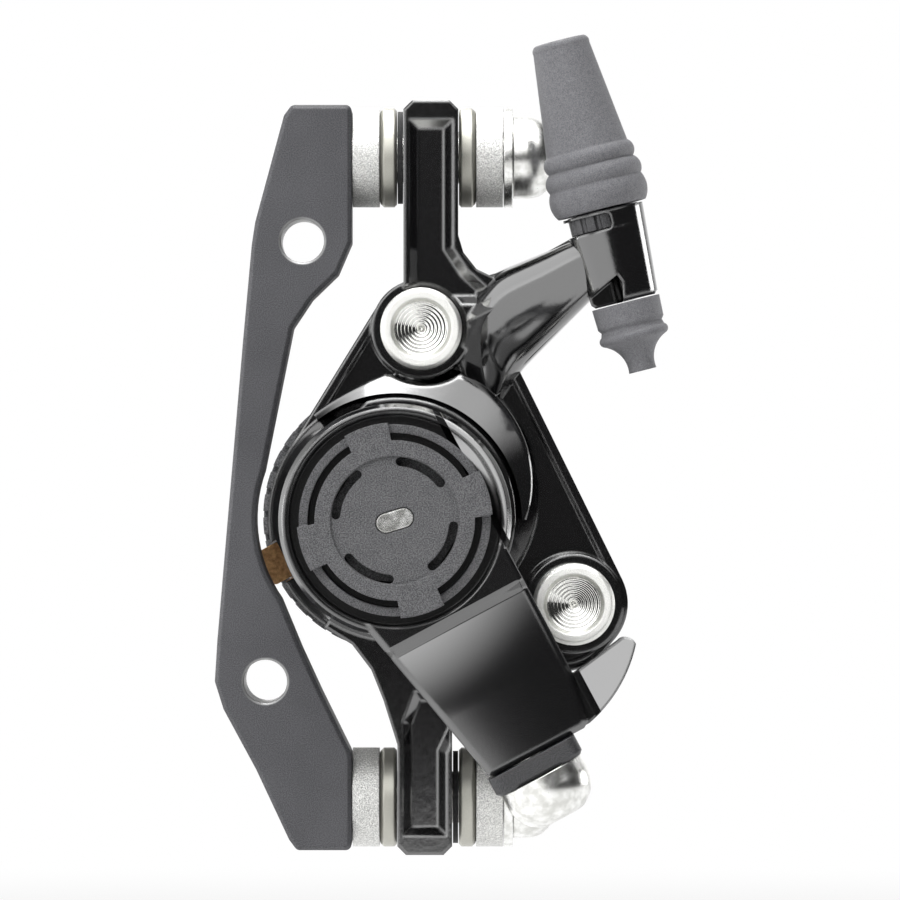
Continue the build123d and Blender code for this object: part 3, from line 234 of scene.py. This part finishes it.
def srgb(red, green, blue):
    """A colour given as it is seen, from 0 to 255, turned into the shader's own scale."""
    shares = [channel / 255 for channel in (red, green, blue)]
    return tuple(s / 12.92 if s <= 0.04045 else ((s + 0.055) / 1.055) ** 2.4 for s in shares)


def finish(name, **fixed):
    """A new material: itself, its shader with the fixed sockets set, and a wire in its tree."""
    material = bpy.data.materials.new(name)
    material.use_nodes = True
    shader = material.node_tree.nodes["Principled BSDF"]
    for socket, value in fixed.items():
        shader.inputs[socket.replace("_", " ")].default_value = value
    return material, shader, Wire(material.node_tree)


def place_of(wire):
    """Where a point of the surface lies, in the part's own metres."""
    return wire.node("ShaderNodeTexCoord", output="Object")


def grain(wire, size, detail=2.0, stretch=(1, 1, 1)):
    """Noise from 0 to 1 whose lumps are about the given size in millimetres."""
    where = wire.node("ShaderNodeVectorMath", {"operation": "MULTIPLY"}, {0: place_of(wire), 1: stretch})
    sockets = {"Vector": where, "Scale": 1 / (size * MM), "Detail": detail}
    return wire.node("ShaderNodeTexNoise", None, sockets)


def bump(height, depth, shader, edge=0.2, strength=1.0):
    """Raises the surface by a height wire times a depth, and rounds edges by a radius, in millimetres."""
    rounded = height.node("ShaderNodeBevel", {"samples": 6}, {"Radius": edge * MM})
    sockets = {"Strength": strength, "Distance": depth * MM, "Height": height, "Normal": rounded}
    height.node("ShaderNodeBump", None, sockets, "Normal").into(shader, "Normal")


def dress(material, *nodes):
    """Gives CAD nodes their finish."""
    for node in nodes:
        frame["nodes"][node].material_slots[0].material = material


coat, shader, wire = finish("bracket_coat", Metallic=0.0, Specular_IOR_Level=0.4)
speck = grain(wire, 0.12, 3)
cloud = grain(wire, 9.0, 2)
tone = (0.85 * speck + 0.15 * cloud).rise(0.3, 0.7)
px, py, pz = place_of(wire).parts()
# The mask covers each bore, which is bare metal where the thread is cut, and a thin ring round its mouth on
# the faces, which is a painted highlight for a lit edge.
bare_bore_and_rim_highlight = None
for side in (1, -1):
    dx = px - side * hole_x
    dz = pz - side * hole_z
    bore_and_rim_highlight = 1 - (dx * dx + dz * dz).math("SQRT").rise(hole_r + 0.1 * MM, hole_r + 0.35 * MM)
    bare_bore_and_rim_highlight = bore_and_rim_highlight if bare_bore_and_rim_highlight is None else bare_bore_and_rim_highlight + bore_and_rim_highlight
bare_bore_and_rim_highlight.blend(tone.blend(srgb(48, 48, 51), srgb(90, 90, 93)), srgb(150, 150, 150)).into(shader, "Base Color")
(0.5 + 0.14 * speck - 0.15 * bare_bore_and_rim_highlight).into(shader, "Roughness")
(bare_bore_and_rim_highlight * 0.9).into(shader, "Metallic")
thread = py.math("PINGPONG", py / thread_pitch, 0.5)
bump(speck * 0.05 + bare_bore_and_rim_highlight * thread, 0.4, shader, 0.3, 0.6)
dress(coat, "mount_bracket")

# Washers at the two posts: thick dished washers of bead-blasted aluminium, and rounded ones of
# satin steel that rock in them.
blasted, shader, wire = finish("blasted_aluminium", Metallic=0.85)
sparkle = grain(wire, 0.16, 4)
fine = grain(wire, 0.07, 2)
(0.5 * sparkle + 0.5 * fine).rise(0.35, 0.65).blend(srgb(150, 150, 149), srgb(236, 236, 233)).into(
    shader, "Base Color"
)
(0.42 + 0.25 * sparkle).into(shader, "Roughness")
bump(sparkle, 0.12, shader, 0.25, 0.8)
dress(blasted, "concave_washers")

satin, shader, wire = finish("satin_steel", Metallic=0.9)
turned = grain(wire, 0.1, 2, (12, 1, 1))
turned.rise(0.3, 0.7).blend(srgb(150, 149, 142), srgb(188, 187, 178)).into(shader, "Base Color")
(0.34 + 0.16 * turned).into(shader, "Roughness")
bump(turned, 0.02, shader, 0.3, 0.5)
dress(satin, "convex_washers")

# Retaining rings and dust seal: thin rings of dull black rubber with a little dust on them. The
# rings hold the washers on the post bolts, and the seal lies in the drum under the arm's hub.
black_rubber, shader, wire = finish("black_rubber", Specular_IOR_Level=0.3)
dust = grain(wire, 0.3, 4)
dust.rise(0.4, 0.8).blend(srgb(34, 34, 35), srgb(58, 58, 58)).into(shader, "Base Color")
(0.6 + 0.25 * dust).into(shader, "Roughness")
bump(dust, 0.03, shader, 0.15, 0.5)
dress(black_rubber, "retaining_rings", "dust_seal")

# Post bolts, flat washers, clamp bolt and foot screws: bright-plated steel. The plating is smooth,
# with faint cloudy patches and fine turning marks.
plated, shader, wire = finish("bright_plate", Metallic=1.0)
haze = grain(wire, 1.2, 3)
lines = grain(wire, 0.08, 2, (1, 8, 1))
haze.rise(0.3, 0.7).blend(srgb(196, 196, 192), srgb(232, 232, 230)).into(shader, "Base Color")
(0.14 + 0.14 * haze + 0.06 * lines).into(shader, "Roughness")
bump(lines, 0.008, shader, 0.2, 0.5)
dress(plated, "post_bolts", "flat_washers", "cable_clamp_bolt")
dress(plated, "outboard_foot_screw", "inboard_foot_screw")

# Housings: two aluminium castings under thick gloss black paint. The paint rounds every edge and
# has the faint waviness of a casting under it.
gloss, shader, wire = finish("gloss_paint", IOR=2.3)
peel = grain(wire, 0.9, 2)
dirt = grain(wire, 0.25, 4)
dirt.rise(0.45, 0.85).blend(srgb(8, 8, 9), srgb(18, 18, 19)).into(shader, "Base Color")
(0.06 + 0.08 * dirt).into(shader, "Roughness")
bump(peel, 0.004, shader, 0.5)
dress(gloss, "outboard_housing", "inboard_housing")

# The strut that carries the cable stop: part of the same casting, with a soft ridge that flows
# into the stop. It lies as a skin over the strut's plainer solid and is fixed to the housing.
strut_sides = [
    ((22.0, 3.0), (20.0, 17.5), (3.6, 0.8, 0.2), 8.0),
    ((25.4, 7.2), (21.6, 18.9), (-0.7, -2.9, -2.2), 8.0),
    ((27.75, 10.8), (24.3, 21.8), (-2.9, -4.9, -4.3), 9.0),
    ((31.9, 15.0), (29.6, 23.8), (-7.0, -8.7, -8.2), 2.6),
    ((35.1, 18.2), (33.1, 25.3), (-10.1, -11.4, -10.9), -2.0),
    ((38.2, 21.5), (37.2, 26.1), (-13.0, -13.9, -13.6), -6.6),
    ((40.4, 22.6), (39.6, 26.9), (-12.0, -12.5, -12.3), -8.0),
]
strut_profile = [
    (-0.02, "back"), (-0.02, 1.6), (0.0, 0.4), (0.07, -0.15), (0.3, -0.45), (0.55, -0.35),
    (0.66, -0.15), (0.73, -0.15), (0.84, -0.3), (0.95, -0.15), (1.01, 0.5), (1.02, 1.8), (1.02, "back"),
]
ridge_share = 0.68
strut_steps = 6


def strut_row(lower, upper, fronts, back):
    """Points round the strut's front between two sides, each given as X and Z, with the depths at
    its lower side, its ridge and its upper side, and the depth of its back."""
    at_lower, at_ridge, at_upper = fronts
    row = []
    for share, lift in strut_profile:
        if share < ridge_share:
            front = at_lower + (at_ridge - at_lower) * max(share, 0) / ridge_share
        else:
            past_ridge = min((share - ridge_share) / (1 - ridge_share), 1)
            front = at_ridge + (at_upper - at_ridge) * past_ridge
        x = lower[0] + (upper[0] - lower[0]) * share
        z = lower[1] + (upper[1] - lower[1]) * share
        row.append(Vector((x, back if lift == "back" else front + lift, z)))
    return row


def skin(name, rows, smoothing):
    """A painted sheet through rows of points, its inner points drawn together some times over."""
    sheet = bmesh.new()
    grid = [[sheet.verts.new(point * MM) for point in row] for row in rows]
    for first, second in zip(grid, grid[1:]):
        for corner in range(len(first) - 1):
            sheet.faces.new((first[corner], first[corner + 1], second[corner + 1], second[corner]))
    inner = [vertex for row in grid[1:-1] for vertex in row[1:-1]]
    axes = {"use_axis_x": True, "use_axis_y": True, "use_axis_z": True}
    for _ in range(smoothing):
        bmesh.ops.smooth_vert(sheet, verts=inner, factor=0.5, **axes)
    bmesh.ops.recalc_face_normals(sheet, faces=sheet.faces)
    sheet.normal_update()
    if sum(face.normal.y for face in sheet.faces) > 0:
        bmesh.ops.reverse_faces(sheet, faces=sheet.faces)
    data = bpy.data.meshes.new(name)
    sheet.to_mesh(data)
    sheet.free()
    data.shade_smooth()
    data.materials.append(gloss)
    piece = bpy.data.objects.new(name, data)
    bpy.context.collection.objects.link(piece)
    return piece


given_rows = [strut_row(*side) for side in strut_sides]
strut_rows = []
for first, second in zip(given_rows, given_rows[1:]):
    for step in range(strut_steps):
        strut_rows.append([near.lerp(far, step / strut_steps) for near, far in zip(first, second)])
strut_rows.append(given_rows[-1])
strut_skin = skin("strut_skin", strut_rows, 5)
rounder = strut_skin.modifiers.new("rounder", "SUBSURF")
rounder.levels = 1
rounder.render_levels = 1
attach(strut_skin, "root")

# The saddle: a broad chamfer of the casting between the drum's rim and the upper bolt's lobe. It
# lies as a skin over the plainer solid, ends at the lobe's ring and runs out on the right.
drum_low, drum_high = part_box("thrust_washer")
drum_middle = (drum_low + drum_high) / (2 * MM)
drum_axis = Vector((drum_middle.x, drum_middle.z))
lobe_centre = Vector((16.2, 15.6))
lobe_offset = lobe_centre - drum_axis
lobe_reach = 7.0
saddle_inner = 14.5
saddle_outer = 18.2
saddle_front = -5.4
saddle_slope = 0.6
saddle_root = 3.4
saddle_turn = 128
turn_step = 2
narrowest = 0.3
narrowing = 3.4
narrow_turn = 56
left_turn = 127
left_reach = 15.1


def saddle_reach(turn):
    """How far the saddle reaches from the drum's axis in a direction, given in degrees."""
    reach = saddle_outer - narrowing * max(0, 1 - turn / narrow_turn) ** 1.5
    to_lobe = lobe_offset.dot(Vector((math.cos(math.radians(turn)), math.sin(math.radians(turn)))))
    beside_lobe = lobe_offset.length_squared - to_lobe ** 2
    if beside_lobe < lobe_reach ** 2:
        reach = min(reach, to_lobe - math.sqrt(lobe_reach ** 2 - beside_lobe))
    toward_left = math.cos(math.radians(turn - left_turn))
    if toward_left > 0.5:
        reach = min(reach, left_reach / toward_left ** 0.5)
    return max(reach, saddle_inner + narrowest)


saddle_rows = []
for turn in range(0, saddle_turn + 1, turn_step):
    reach = saddle_reach(turn)
    profile = []
    for share in (0, 0.12, 0.3, 0.5, 0.7, 0.88, 1):
        out = (reach - saddle_inner) * share
        profile.append((saddle_inner + out, saddle_front + saddle_slope * out))
    profile += [(reach + 0.25, profile[-1][1] + 0.35), (reach + 0.35, saddle_root)]
    row = []
    for radius, depth in profile:
        x = drum_axis.x + radius * math.cos(math.radians(turn))
        z = drum_axis.y + radius * math.sin(math.radians(turn))
        row.append(Vector((x, depth, z)))
    saddle_rows.append(row)
saddle_skin = skin("saddle_skin", saddle_rows, 0)
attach(saddle_skin, "root")

# Body bolts: two plated bolts whose heads are turned with a dished face. The tool leaves fine
# rings in the dish and a frosted rim round it.
dish_edge = (3.0 * MM, 3.2 * MM)
ring_pitch = 0.42 * MM


def solids(node):
    """The box of each separate solid in a CAD node, lowest first."""
    mesh = bmesh.new()
    mesh.from_mesh(frame["nodes"][node].data)
    bmesh.ops.remove_doubles(mesh, verts=mesh.verts, dist=0.002 * MM)
    left = set(mesh.verts)
    boxes = []
    while left:
        group = [left.pop()]
        for vertex in group:
            for edge in vertex.link_edges:
                other = edge.other_vert(vertex)
                if other in left:
                    left.remove(other)
                    group.append(other)
        places = [vertex.co for vertex in group]
        low = Vector([min(place[axis] for place in places) for axis in range(3)])
        high = Vector([max(place[axis] for place in places) for axis in range(3)])
        boxes.append((low, high))
    mesh.free()
    return sorted(boxes, key=lambda box: box[0].z)


turned_plate, shader, wire = finish("turned_plate", Metallic=1.0)
px, _, pz = place_of(wire).parts()
nearest = None
for low, high in solids("body_bolts"):
    centre = (low + high) / 2
    dx = px - centre.x
    dz = pz - centre.z
    radius = (dx * dx + dz * dz).math("SQRT")
    nearest = radius if nearest is None else nearest.math("MINIMUM", nearest, radius)
frost = grain(wire, 0.1, 3)
rim = nearest.rise(*dish_edge)
rings = nearest.math("SINE", nearest * (2 * math.pi / ring_pitch))
frost.rise(0.3, 0.7).blend(srgb(200, 200, 197), srgb(240, 240, 236)).into(shader, "Base Color")
(0.08 + rim * (0.18 + 0.2 * frost)).into(shader, "Roughness")
bump((1 - rim) * rings * 0.022 + rim * frost * 0.05, 1.0, shader, 0.3)
dress(turned_plate, "body_bolts")

# Actuator arm: a forged lever in the same gloss black, with a softly crowned blade and a claw
# that leans to the upper left. The dial sits in its cup.
arm_gloss, shader, wire = finish("arm_paint", IOR=2.2)
nut_low, nut_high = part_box("arm_nut")
arm_pivot = (nut_low + nut_high) / 2
arm_turn = math.radians(-61.8)
blade_start = 12.5 * MM
blade_half = 9.7 * MM
crown_end = 23 * MM
crown_across = 0.0055
crown_along = 0.0075
claw_tilt = 0.2
px, _, pz = place_of(wire).parts()
dx = px - arm_pivot.x
dz = pz - arm_pivot.z
along = dx * math.cos(arm_turn) + dz * math.sin(arm_turn)
across = dz * math.cos(arm_turn) - dx * math.sin(arm_turn)
blade = along.rise(blade_start, blade_start + 1.5 * MM)
short_of_end = (along - crown_end).math("MINIMUM", along - crown_end, 0) / MM
off_middle = across.math("MAXIMUM", across.math("MINIMUM", across, blade_half), -blade_half) / MM
fall = off_middle * off_middle * crown_across + short_of_end * short_of_end * crown_along
claw = across.rise(blade_half - 0.1 * MM, blade_half + 0.7 * MM)
dirt = grain(wire, 0.2, 4)
dirt.rise(0.45, 0.85).blend(srgb(8, 8, 9), srgb(20, 20, 21)).into(shader, "Base Color")
(0.08 + 0.08 * dirt).into(shader, "Roughness")
bump(claw * (px - pz) * (claw_tilt / MM) - blade * fall, 1.0, shader, 0.5)
dress(arm_gloss, "actuator_arm")

# Clamp plate, barrel adjuster and arm nut: oxide-blackened steel with fine grinding lines. The
# plate lies on the arm's end under its plated bolt.
oxide, shader, wire = finish("black_oxide", Metallic=0.8)
ground_lines = grain(wire, 0.12, 3, (1, 6, 1))
ground_lines.rise(0.3, 0.75).blend(srgb(48, 48, 50), srgb(96, 96, 97)).into(shader, "Base Color")
(0.3 + 0.2 * ground_lines).into(shader, "Roughness")
bump(ground_lines, 0.02, shader, 0.2, 0.5)
dress(oxide, "cable_clamp_plate", "barrel_adjuster", "arm_nut")

# Dials: textured black nylon, moulded in a spark-eroded tool, so the face is evenly pebbled. One
# turns in the arm's cup and the other in the inboard housing.
nylon, shader, wire = finish("textured_nylon", Specular_IOR_Level=0.45)
pebble = grain(wire, 0.14, 3)
wear = grain(wire, 1.6, 3)
(0.9 * pebble + 0.1 * wear).rise(0.35, 0.65).blend(srgb(44, 44, 46), srgb(104, 104, 106)).into(
    shader, "Base Color"
)
(0.42 + 0.2 * pebble).into(shader, "Roughness")
bump(pebble, 0.08, shader, 0.25, 0.8)
dress(nylon, "outboard_dial", "inboard_dial")

# Boots: moulded grey rubber with a dull bloom. The ribbed one is a sleeve over the barrel
# adjuster, and the small one sits under the stop, where the bare cable passes.
grey_rubber, shader, wire = finish("grey_rubber", Specular_IOR_Level=0.35)
bloom = grain(wire, 0.5, 4)
pores = grain(wire, 0.1, 2)
(0.2 * bloom + 0.8 * pores).rise(0.3, 0.7).blend(srgb(84, 84, 87), srgb(124, 124, 127)).into(
    shader, "Base Color"
)
(0.5 + 0.2 * bloom).into(shader, "Roughness")
bump(pores, 0.03, shader, 0.4, 0.6)
dress(grey_rubber, "housing_boot", "nozzle_boot")

# Pads: steel plates with a copper wash, drawn and faintly stained, and dark sintered linings with
# bright flecks, bonded to the plates.
copper, shader, wire = finish("copper_wash", Metallic=0.7)
wear = grain(wire, 0.5, 4)
drawn = grain(wire, 0.09, 2, (1, 1, 6))
(0.6 * wear + 0.4 * drawn).rise(0.3, 0.7).blend(srgb(150, 108, 66), srgb(232, 184, 132)).into(
    shader, "Base Color"
)
(0.35 + 0.2 * drawn).into(shader, "Roughness")
bump(drawn, 0.02, shader, 0.2, 0.5)
dress(copper, "outboard_pad_plate", "inboard_pad_plate")

lining, shader, wire = finish("sintered_lining")
crumbs = grain(wire, 0.35, 4)
flecks = grain(wire, 0.15, 1).rise(0.62, 0.7)
flecks.blend(crumbs.blend(srgb(58, 54, 50), srgb(92, 86, 78)), srgb(176, 140, 96)).into(shader, "Base Color")
(0.75 + 0.15 * crumbs).into(shader, "Roughness")
bump(crumbs, 0.08, shader, 0.2, 0.7)
dress(lining, "outboard_pad_lining", "inboard_pad_lining")

# The works inside: hardened and ground steel parts of the ball ramp with the feet, and two springs
# of plain spring steel, a coil between drum and arm and a leaf between the pads.
ground_steel, shader, wire = finish("ground_steel", Metallic=1.0)
scratch = grain(wire, 0.1, 3, (5, 1, 1))
scratch.rise(0.3, 0.7).blend(srgb(150, 150, 148), srgb(188, 188, 185)).into(shader, "Base Color")
(0.25 + 0.15 * scratch).into(shader, "Roughness")
bump(scratch, 0.01, shader, 0.15, 0.5)
dress(ground_steel, "thrust_washer", "drive_ramp", "pressure_ramp", "ramp_balls")
dress(ground_steel, "outboard_foot", "inboard_foot")

spring_steel, shader, wire = finish("spring_steel", Metallic=1.0)
scale = grain(wire, 0.4, 4)
scale.rise(0.35, 0.75).blend(srgb(120, 120, 120), srgb(160, 158, 152)).into(shader, "Base Color")
(0.3 + 0.2 * scale).into(shader, "Roughness")
bump(scale, 0.01, shader, 0.1, 0.5)
dress(spring_steel, "return_spring", "pad_spring")
